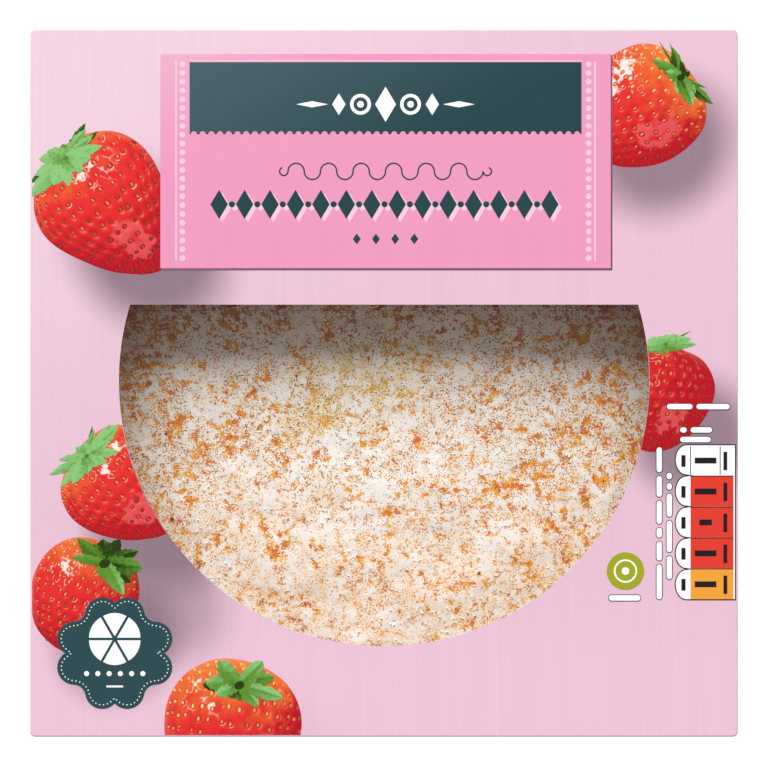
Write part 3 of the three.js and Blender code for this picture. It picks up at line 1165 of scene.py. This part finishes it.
def toned_disc(bm, point, radius, segments, turn, stretch, tone):
    """A flat disc whose points hold a tone."""
    layer = bm.verts.layers.float["tone"]
    for vert in disc(bm, point.x, point.y, radius, segments, turn, stretch):
        vert[layer] = tone


def berry_seeds(berries, places):
    """The pits, the seeds in them and the wet glints round them, as three flat meshes."""
    pits, seeds, glints = bmesh.new(), bmesh.new(), bmesh.new()
    for bm in (pits, seeds, glints):
        bm.verts.layers.float.new("tone")
    rng = random.Random(5)
    for number, berry in enumerate(berries):
        place = Print(berry)
        over = Print(berries[OVER[number]]) if number in OVER else None
        for ball in places[number]:
            size = berry.width * MM * rng.uniform(0.8, 1.15)
            light = place.facing(ball).dot(BERRY_LIGHT) + rng.uniform(-0.12, 0.12)
            luck = rng.random()
            point = place.on_lid(ball)
            hidden = under_label(point) or (over and over.covers(point))
            if ball.z < 0.2 or hidden or not off_window(point, 0.9 * MM):
                continue
            facing = place.facing(ball)
            squeeze = max(0.45, facing.z)
            turn = math.atan2(facing.y, facing.x)
            young = max(0.0, 0.35 - ball.x - 0.9 * berry.ripe)
            if young < 0.75 or luck < 0.3:
                tone = 0.1 + 0.45 * light + 0.5 * young
                toned_disc(pits, point, PIT * size, 10, turn, squeeze, tone)
            tone = 0.1 + 0.6 * light + 0.5 * young - 0.3 * min(1.0, berry.ripe) + rng.uniform(-0.2, 0.2)
            toned_disc(seeds, point, SEED * size, 8, math.radians(berry.heading), 1 + 0.8 * squeeze, tone)
            if light > 0.7 and luck < 0.28 * light:
                start, sweep = rng.uniform(-130, -60), rng.uniform(50, 140)
                band(glints, point.x, point.y, GLINT * size, GLINT_WIDTH * size, start, sweep, 7)
    return pits, seeds, glints


def under_label(point):
    """True where the label lies over a place on the lid."""
    label = bpy.context.scene.cakebox_label
    margin = 0.6 * MM
    return (abs(point.x - label.centre_x) < label.width / 2 - margin
            and abs(point.y - label.centre_y) < label.height / 2 - margin)


def berry_leaves(calyxes):
    """The leaves of every strawberry, each leaf a little above the one before."""
    everything = bmesh.new()
    rng = random.Random(17)
    apart = 0.35 * INK_LAYER
    for number, calyx in enumerate(calyxes):
        root = Vector((calyx.x, calyx.y, 0)) * MM
        dim = 0.5 * dimming(number, root + Vector((0, 3 * MM, 0)))
        bm = bmesh.new()
        bm.verts.layers.float.new("tone")
        for order, (direction, size, width, shift) in enumerate(calyx.leaves):
            tone = calyx.tone * (1 - dim) + shift + rng.uniform(-0.05, 0.05)
            bend = rng.uniform(-0.3, 0.3)
            leaf(bm, root, size * MM, width * MM, math.radians(direction), tone, calyx, bend, apart * order)
        before = set(bm.verts)
        toned_disc(bm, root, calyx.core * MM, 9, 0.4, 1.3, calyx.tone - 0.55)
        for vert in since(bm, before):
            vert.co.z = apart * len(calyx.leaves)
        trim_to_lid(bm)
        pour(bm, everything)
        bm.free()
    return everything


def leaf(bm, root, size, width, angle, tone, calyx, bend, height):
    """One lightly toothed leaf, with a darker rib and one half in shade."""
    layer = bm.verts.layers.float["tone"]
    before = set(bm.verts)
    made = bmesh.ops.create_grid(bm, x_segments=20, y_segments=6, size=0.5)["verts"]
    shade = 0.3 * calyx.contrast * (1 if math.cos(angle) > 0 else -1)
    start, end = 0.42, 0.8 - 0.42 * calyx.blunt
    widest = start / (start + end)
    full = widest ** start * (1 - widest) ** end
    teeth = 3 if size < 5 * MM else 5
    for vert in made:
        share = vert.co.x + 0.5
        side = 2 * vert.co.y
        spread = share ** start * (1 - share) ** end / full if 0 < share < 1 else 0.0
        tooth = 1 + 0.34 * ((teeth * share + 0.5 * abs(side)) % 1.0 - 0.5) * abs(side)
        rib = 0.4 * calyx.contrast if abs(side) < 0.2 else 0.0
        vert[layer] = tone + calyx.contrast * (share - 0.6) + (shade if side > 0 else -shade) - rib
        vert.co = (share * size, side * spread * tooth * width / 2 + bend * width * share ** 2, height)
    bmesh.ops.remove_doubles(bm, verts=made, dist=1e-6)
    place = Matrix.Translation(root) @ Matrix.Rotation(angle, 4, "Z")
    bmesh.ops.transform(bm, verts=since(bm, before), matrix=place)


class CAKEBOX_OT_berries(bpy.types.Operator):
    """Prints the strawberries round the lid"""
    bl_idname = "cakebox.berries"
    bl_label = "Printed strawberries"

    def execute(self, context):
        settings = context.scene.cakebox_berry
        rng = random.Random(3)
        places = [seed_places(settings.seed_gap, rng) for _ in BERRIES]
        print_layer("printed_berries", berry_bodies(BERRIES, places), 1, berry_finish(settings))
        pits, seeds, glints = berry_seeds(BERRIES, places)
        pit_ink = toned_finish("seed_pit_ink", tint(150, 12, 26), tint(190, 30, 34), tint(236, 100, 52), 0.3)
        seed_ink = toned_finish("seed_ink", tint(140, 62, 38), tint(222, 142, 76), settings.seed, 0.5)
        glint_ink = ink_finish("glint_ink", tint(250, 196, 176), tint(246, 156, 136))
        print_layer("printed_seed_pits", pits, 2, pit_ink)
        print_layer("printed_seeds", seeds, 3, seed_ink)
        print_layer("printed_glints", glints, 3.5, glint_ink)
        leaf_ink = toned_finish("leaf_ink", settings.dark_leaf, settings.leaf, settings.fresh_leaf, 0.5)
        print_layer("printed_leaves", berry_leaves(CALYXES), 4, leaf_ink)
        return {"FINISHED"}


# ---------------------------------------------------------------- label


def label_edges(settings):
    """The label's left, lower, right and upper edges."""
    return (settings.centre_x - settings.width / 2, settings.centre_y - settings.height / 2,
            settings.centre_x + settings.width / 2, settings.centre_y + settings.height / 2)


def label_band(settings):
    """The dark band along the top of the label, with small scallops bitten from its lower edge."""
    left, _, right, high = label_edges(settings)
    inset, drop, depth = 7.0 * MM, 2.0 * MM, 17.3 * MM
    scallops = 45
    start, end = left + inset, right - inset
    low = high - drop - depth
    pitch = (end - start) / scallops
    bite = 0.36 * pitch
    bm = bmesh.new()
    pen = Pen(bm, end, high - drop)
    pen.line(start, high - drop).line(start, low)
    for number in range(scallops):
        middle = start + (number + 0.5) * pitch
        pen.line(middle - bite, low).arc(middle, low, -180, 6)
    pen.line(end, low)
    pen.fill()
    return bm


def label_trim(settings):
    """The thin lines and the columns of dots at both sides, and the line over the band."""
    left, low, right, high = label_edges(settings)
    lines, dots = bmesh.new(), bmesh.new()
    for side, edge in ((1, left), (-1, right)):
        line = edge + side * 3.75 * MM
        bar(lines, line - 0.2 * MM, low + 1.7 * MM, line + 0.2 * MM, high - 1.8 * MM)
        column = edge + side * 5.3 * MM
        count = 23
        for number in range(count):
            y = low + 2.4 * MM + number * (settings.height - 4.9 * MM) / (count - 1)
            disc(dots, column, y, 0.72 * MM, 12)
    bar(lines, left + 7.0 * MM, high - 1.85 * MM, right - 7.0 * MM, high - 1.6 * MM)
    return lines, dots


def band_ornament(settings):
    """A pale ornament in the middle of the band: rings and lozenges on a line."""
    x, y = settings.centre_x, settings.centre_y + 13.6 * MM
    bm = bmesh.new()
    diamond(bm, x, y, 5.0 * MM, 8.4 * MM)
    for side in (-1, 1):
        band(bm, x + side * 6.0 * MM, y, 2.1 * MM, 0.8 * MM, 0, 360, 32)
        disc(bm, x + side * 6.0 * MM, y, 0.8 * MM, 16)
        diamond(bm, x + side * 11.2 * MM, y, 3.2 * MM, 5.2 * MM)
        diamond(bm, x + side * 17.6 * MM, y, 7.6 * MM, 1.5 * MM)
    return bm


def wave_ornament(settings):
    """A thin wavy line of half rings, ending in curls."""
    x, y = settings.centre_x, settings.centre_y - 2.5 * MM
    bm = bmesh.new()
    count, radius, width = 12, 1.95 * MM, 0.36 * MM
    for number in range(count):
        middle = x + (2 * number + 1 - count) * radius
        band(bm, middle, y, radius, width, 0, 180 if number % 2 == 0 else -180, 14)
    curl = 1.0 * MM
    for side in (-1, 1):
        end = x + side * (count * radius + curl)
        band(bm, end, y, curl, width, 180 if side > 0 else 0, side * 250, 16)
    return bm


def frieze(settings, shift):
    """A row of lozenges between dots, where the title stands on such a label."""
    x, y = settings.centre_x - 0.25 * MM + shift, settings.centre_y - 10.4 * MM - shift
    count, pitch = 14, 6.1 * MM
    bm = bmesh.new()
    for number in range(count):
        middle = x + (number - (count - 1) / 2) * pitch
        diamond(bm, middle, y, 4.2 * MM, 7.0 * MM)
        if number < count - 1:
            disc(bm, middle + pitch / 2, y, 0.75 * MM, 12)
    return bm


def small_dots(settings):
    """Four small lozenges under the frieze."""
    bm = bmesh.new()
    for number in range(4):
        x = settings.centre_x + (number - 1.5) * 4.6 * MM
        diamond(bm, x, settings.centre_y - 18.7 * MM, 1.9 * MM, 2.6 * MM)
    return bm


class CAKEBOX_OT_label(bpy.types.Operator):
    """Prints the label on the back half of the lid"""
    bl_idname = "cakebox.label"
    bl_label = "Label"

    def execute(self, context):
        settings = context.scene.cakebox_label
        left, low, right, high = label_edges(settings)
        pale = ink_finish("pale_ink", settings.pale)
        # The band is lighter teal at its left and the card paler along its upper left: a painted light from
        # the upper left.
        teal = ink_finish("teal_ink", settings.teal_light, settings.teal, -90 * MM, -40 * MM)
        dark = ink_finish("dark_ink", settings.teal)
        white = ink_finish("white_ink", tint(255, 255, 255), tint(250, 252, 252))
        shade = ink_finish("label_shade_ink", tint(150, 104, 128), tint(120, 80, 102))
        card = ink_finish("label_ink", tint(229, 176, 200), settings.pink, -104 * MM, -66 * MM)

        print_shape("label_shade", 5, shade, bar,
                    left + 0.2 * MM, low - 0.5 * MM, right + 0.4 * MM, high - 0.3 * MM)
        print_shape("label_card", 5.6, card, bar, left, low, right, high)
        print_layer("label_band", label_band(settings), 6.4, teal)
        lines, dots = label_trim(settings)
        print_layer("label_lines", lines, 7, pale)
        print_layer("label_dots", dots, 7, pale)
        print_layer("band_ornament", band_ornament(settings), 7.2, white)
        print_layer("wave_ornament", wave_ornament(settings), 7, dark)
        print_layer("frieze_shade", frieze(settings, 0.8 * MM), 6.4, pale)
        print_layer("frieze", frieze(settings, 0), 7.2, dark)
        print_layer("small_lozenges", small_dots(settings), 7, dark)
        return {"FINISHED"}


# ---------------------------------------------------------------- badge and panel


class Badge:
    """The lobed badge: pairs of round lobes on four sides, with soft notches between the pairs."""

    x = -64.6 * MM
    y = -64.8 * MM
    lobe = 4.1 * MM
    notch = 2.9 * MM
    high = Vector((3.0, 9.26)) * MM
    side = Vector((9.7, 3.45)) * MM


def badge_outline(bm):
    """The badge's outline. One quarter is worked out, and the others are its mirror images."""
    lobe, notch = Badge.lobe, Badge.notch
    between = (Badge.high + Badge.side) / 2
    apart = (Badge.side - Badge.high).length / 2
    out = Vector((Badge.high.y - Badge.side.y, Badge.side.x - Badge.high.x)).normalized()
    hollow = between + out * math.sqrt((lobe + notch) ** 2 - apart ** 2)

    def angle(centre, point):
        return math.degrees(math.atan2(point.y - centre.y, point.x - centre.x))

    cusp_high = Vector((0, Badge.high.y + math.sqrt(lobe ** 2 - Badge.high.x ** 2)))
    cusp_side = Vector((Badge.side.x + math.sqrt(lobe ** 2 - Badge.side.y ** 2), 0))
    touch_high = Badge.high + (hollow - Badge.high) * (lobe / (lobe + notch))
    touch_side = Badge.side + (hollow - Badge.side) * (lobe / (lobe + notch))
    arcs = (
        (Badge.side, angle(Badge.side, touch_side) - angle(Badge.side, cusp_side)),
        (hollow, (angle(hollow, touch_high) - angle(hollow, touch_side)) % 360 - 360),
        (Badge.high, angle(Badge.high, cusp_high) - angle(Badge.high, touch_high)),
    )
    pen = Pen(bm, Badge.x + cusp_side.x, Badge.y + cusp_side.y)
    for quarter in range(4):
        flip_x = -1 if quarter in (1, 2) else 1
        flip_y = -1 if quarter in (2, 3) else 1
        turns = arcs if quarter % 2 == 0 else tuple(reversed(arcs))
        for centre, sweep in turns:
            pen.arc(Badge.x + flip_x * centre.x, Badge.y + flip_y * centre.y, sweep, 12)
    return pen


def inset_face(bm, face, depth):
    """Shrinks a face evenly from its edge, and gives the points of its new outline."""
    bmesh.ops.inset_individual(bm, faces=[face], thickness=depth, use_even_offset=True)
    rim = [other for other in bm.faces if other is not face]
    bmesh.ops.delete(bm, geom=rim, context="FACES")
    return [vert.co.copy() for vert in face.verts]


def badge_stitches(inset, pitch, size):
    """Small dots along a line inside the badge's edge."""
    guide = bmesh.new()
    points = inset_face(guide, badge_outline(guide).fill(), inset)
    guide.free()
    bm = bmesh.new()
    ahead = 0.0
    for first, last in zip(points, points[1:] + points[:1]):
        span = (last - first).length
        while ahead < span:
            spot = first.lerp(last, ahead / span)
            disc(bm, spot.x, spot.y, size, 8)
            ahead += pitch
        ahead -= span
    return bm


def badge_symbol():
    """A round cake cut in six, seen from above, over a short bar."""
    bm = bmesh.new()
    x, y = Badge.x, Badge.y + 3.4 * MM
    radius, slit = 5.6 * MM, 0.32 * MM
    for number in range(6):
        middle = math.radians(60 * number + 30)
        away = Vector((math.cos(middle), math.sin(middle))) * slit / math.sin(math.radians(30))
        cx, cy = x + away.x, y + away.y
        start = math.radians(60 * number)
        pen = Pen(bm, cx, cy)
        pen.line(cx + radius * math.cos(start), cy + radius * math.sin(start))
        pen.arc(cx, cy, 60, 10)
        pen.fill()
    for number in range(6):
        disc(bm, Badge.x + (number - 2.5) * 2.7 * MM, Badge.y - 4.9 * MM, 0.62 * MM, 12)
    bar(bm, Badge.x - 2.0 * MM, Badge.y - 8.2 * MM, Badge.x + 2.0 * MM, Badge.y - 7.75 * MM)
    return bm


def panel_outline(bm):
    """The panel's card: straight at the right, with one half-round lobe for each row at the left."""
    left, right, high = 72.5 * MM, 84.4 * MM, -14.7 * MM
    rows, row, steps = 5, 7.48 * MM, 14
    reach = 2.8 * MM
    pen = Pen(bm, left, high - rows * row)
    pen.line(right, high - rows * row).line(right, high).line(left, high)
    for number in range(rows):
        pen.arc(left, high - (number + 0.5) * row, 180, steps)
        for vert in pen.drawn[-steps:]:
            vert.co.x = left - (left - vert.co.x) * reach / (row / 2)
    return pen.fill()


class CAKEBOX_OT_badge(bpy.types.Operator):
    """Prints the lobed badge, the small panel and the green disc on the lid"""
    bl_idname = "cakebox.badge"
    bl_label = "Badge and panel"

    def execute(self, context):
        white = ink_finish("badge_white_ink", tint(255, 255, 255), tint(252, 252, 252))
        teal = ink_finish("badge_ink", tint(43, 73, 80))
        black = ink_finish("black_ink", tint(34, 26, 32))
        green = ink_finish("green_ink", tint(166, 173, 40), tint(158, 165, 34))

        print_shape("badge", 5, teal, lambda bm: badge_outline(bm).fill())
        print_layer("badge_stitches", badge_stitches(0.95 * MM, 0.95 * MM, 0.16 * MM), 6, white)
        print_layer("badge_symbol", badge_symbol(), 6, white)

        edge, card = bmesh.new(), bmesh.new()
        panel_outline(edge)
        inset_face(card, panel_outline(card), 0.26 * MM)
        print_layer("panel_edge", edge, 5, black)
        print_layer("panel_card", card, 6, white)
        panel_cells(black)
        small_marks(black, white)

        x, y = 57.9 * MM, -45.1 * MM
        print_shape("green_disc", 5, green, disc, x, y, 4.5 * MM, 64)
        ring = bmesh.new()
        band(ring, x, y, 2.6 * MM, 0.4 * MM, 0, 360, 48)
        disc(ring, x, y, 0.9 * MM, 24)
        print_layer("disc_ring", ring, 6, white)
        return {"FINISHED"}


def pill(bm, left, low, right, high):
    """A flat bar with round ends, lying or standing."""
    short, long = sorted((right - left, high - low))
    radius = short / 2
    reach = long / 2 - radius
    before = set(bm.verts)
    pen = Pen(bm, reach, -radius)
    pen.arc(reach, 0, 180, 6).line(-reach, radius).arc(-reach, 0, 180, 6)
    pen.fill()
    turn = Matrix.Rotation(0 if long == right - left else math.pi / 2, 4, "Z")
    place = Matrix.Translation(((left + right) / 2, (low + high) / 2, 0)) @ turn
    bmesh.ops.transform(bm, verts=since(bm, before), matrix=place)


def small_marks(black, white):
    """Rows of short rounded bars, pale with a dark edge, where small notes would be printed.

    Each row or column has its place, then the length of each bar, in millimetres."""
    rows = (
        (67.8, -6.3, 6.2, 8.0),
        (71.0, -11.9, 1.6, 5.2),
        (71.0, -14.2, 7.4),
        (53.9, -52.2, 7.6),
    )
    columns = (
        (66.0, -15.4, 6.0, 5.0, 5.6, 2.4, 4.6, 8.4),
        (68.4, -21.5, 1.6, 1.6, 5.6, 7.6, 5.6),
    )
    outer, inner = bmesh.new(), bmesh.new()
    tall, gap, edge = 1.3, 0.9, 0.18
    for bm, grown in ((outer, edge), (inner, 0.0)):
        for x, y, *words in rows:
            for word in words:
                pill(bm, (x - grown) * MM, (y - grown) * MM, (x + word + grown) * MM, (y + tall + grown) * MM)
                x += word + gap
        for x, y, *words in columns:
            for word in words:
                pill(bm, (x - tall / 2 - grown) * MM, (y - word - grown) * MM,
                     (x + tall / 2 + grown) * MM, (y + grown) * MM)
                y -= word + gap
    print_layer("note_edges", outer, 5, black)
    print_layer("note_bars", inner, 6, white)


def panel_cells(black):
    """The panel's coloured cells, with rules between them and dark bars where figures would stand."""
    left, right, high, row = 73.5 * MM, 83.8 * MM, -14.9 * MM, 7.42 * MM
    red, orange, marks = bmesh.new(), bmesh.new(), bmesh.new()
    for number in range(5):
        top = high - number * row
        if number:
            bar(orange if number == 4 else red, left, top - row + 0.15 * MM, right, top)
            bar(marks, left, top - 0.12 * MM, right, top + 0.12 * MM)
        wide = 1.5 * MM if number == 2 else 2.6 * MM
        middle = left + 3.6 * MM
        bar(marks, middle - wide, top - 4.4 * MM, middle + wide, top - 3.0 * MM)
        bar(marks, left - 2.2 * MM, top - 5.2 * MM, left - 1.2 * MM, top - 2.4 * MM)
        bar(marks, right - 2.4 * MM, top - 6.0 * MM, right - 1.5 * MM, top - 1.6 * MM)
    for x in (left, right - 3.2 * MM):
        bar(marks, x - 0.1 * MM, high - row + 0.3 * MM, x + 0.1 * MM, high - 0.25 * MM)
    print_layer("panel_red_cells", red, 7, ink_finish("red_ink", tint(222, 60, 46)))
    print_layer("panel_orange_cell", orange, 7, ink_finish("orange_ink", tint(238, 160, 56)))
    print_layer("panel_marks", marks, 8, black)


# ---------------------------------------------------------------- stage


# How strongly the floor glows, which makes the ground white.
FLOOR_GLOW = 0.97

# The main light hangs behind the hinge, a little to the left, and looks at the lid.
KEY_PLACE = Vector((-0.5, 3.12, 2.62))


def glowing_floor(scene, settings):
    """A wide floor under the carton, for the picture only."""
    bm = bmesh.new()
    bmesh.ops.create_grid(bm, x_segments=8, y_segments=8, size=settings.floor_width / 2)
    mesh = bpy.data.meshes.new("pale_floor")
    bm.to_mesh(mesh)
    bm.free()
    finish = Finish("pale_floor", 0.9, 0.1)
    finish.colour(finish.mix(finish.noise(0.4, 2), tint(94, 94, 96), tint(98, 98, 98)))
    finish.feed(finish.shader.inputs["Emission Color"], (1, 1, 1))
    finish.feed(finish.shader.inputs["Emission Strength"], FLOOR_GLOW)
    mesh.materials.append(finish.material)
    floor = bpy.data.objects.new("pale_floor", mesh)
    scene.collection.objects.link(floor)


def studio_light(scene, settings):
    """One large soft light, and even light from all sides."""
    light = bpy.data.lights.new("key_light", "AREA")
    light.shape = "RECTANGLE"
    light.size = settings.key_width
    light.size_y = settings.key_depth
    light.energy = settings.key_power
    key = bpy.data.objects.new("key_light", light)
    key.location = KEY_PLACE
    key.rotation_euler = (LID_TOP * UP - KEY_PLACE).to_track_quat("-Z", "Y").to_euler()
    scene.collection.objects.link(key)

    world = bpy.data.worlds.new("soft_light")
    world.use_nodes = True
    background = world.node_tree.nodes["Background"]
    background.inputs["Color"].default_value = (1, 1, 1, 1)
    background.inputs["Strength"].default_value = settings.ambient
    scene.world = world


def camera_over_lid(scene, settings):
    """A camera high over the lid, looking straight down."""
    lens = bpy.data.cameras.new("camera")
    lens.sensor_width = 36
    lens.lens = lens.sensor_width * settings.camera_height / settings.framed
    lens.clip_end = 100
    camera = bpy.data.objects.new("camera", lens)
    camera.location = (-0.02 * MM, -0.24 * MM, LID_TOP + settings.camera_height)
    scene.collection.objects.link(camera)
    scene.camera = camera
    scene.view_settings.view_transform = "Standard"


class CAKEBOX_OT_stage(bpy.types.Operator):
    """Sets the glowing floor, the soft studio light and the camera over the lid"""
    bl_idname = "cakebox.stage"
    bl_label = "Stage"

    def execute(self, context):
        settings = context.scene.cakebox_stage
        glowing_floor(context.scene, settings)
        studio_light(context.scene, settings)
        camera_over_lid(context.scene, settings)
        return {"FINISHED"}


# ---------------------------------------------------------------- add-on


STEPS = (CAKEBOX_OT_carton, CAKEBOX_OT_film, CAKEBOX_OT_cake, CAKEBOX_OT_berries, CAKEBOX_OT_label,
         CAKEBOX_OT_badge, CAKEBOX_OT_stage)
GROUPS = {
    "cakebox_carton": CartonSettings,
    "cakebox_cake": CakeSettings,
    "cakebox_berry": BerrySettings,
    "cakebox_label": LabelSettings,
    "cakebox_stage": StageSettings,
}


class CAKEBOX_PT_panel(bpy.types.Panel):
    """Lists the steps that make the boxed cake"""
    bl_idname = "CAKEBOX_PT_panel"
    bl_label = "Cake Box"
    bl_space_type = "VIEW_3D"
    bl_region_type = "UI"
    bl_category = "Cake Box"

    def draw(self, context):
        for step in STEPS:
            self.layout.operator(step.bl_idname)
        for name in GROUPS:
            group = getattr(context.scene, name)
            box = self.layout.box()
            for key in group.bl_rna.properties.keys():
                if key not in {"rna_type", "name"}:
                    box.prop(group, key)


def register():
    for group in GROUPS.values():
        bpy.utils.register_class(group)
    for name, group in GROUPS.items():
        setattr(bpy.types.Scene, name, bpy.props.PointerProperty(type=group))
    for step in STEPS:
        bpy.utils.register_class(step)
    bpy.utils.register_class(CAKEBOX_PT_panel)


def unregister():
    bpy.utils.unregister_class(CAKEBOX_PT_panel)
    for step in reversed(STEPS):
        bpy.utils.unregister_class(step)
    for name, group in reversed(GROUPS.items()):
        delattr(bpy.types.Scene, name)
        bpy.utils.unregister_class(group)


def main():
    register()
    bpy.ops.cakebox.carton()
    bpy.ops.cakebox.film()
    bpy.ops.cakebox.cake()
    bpy.ops.cakebox.berries()
    bpy.ops.cakebox.label()
    bpy.ops.cakebox.badge()
    bpy.ops.cakebox.stage()


if __name__ == "__main__":
    main()
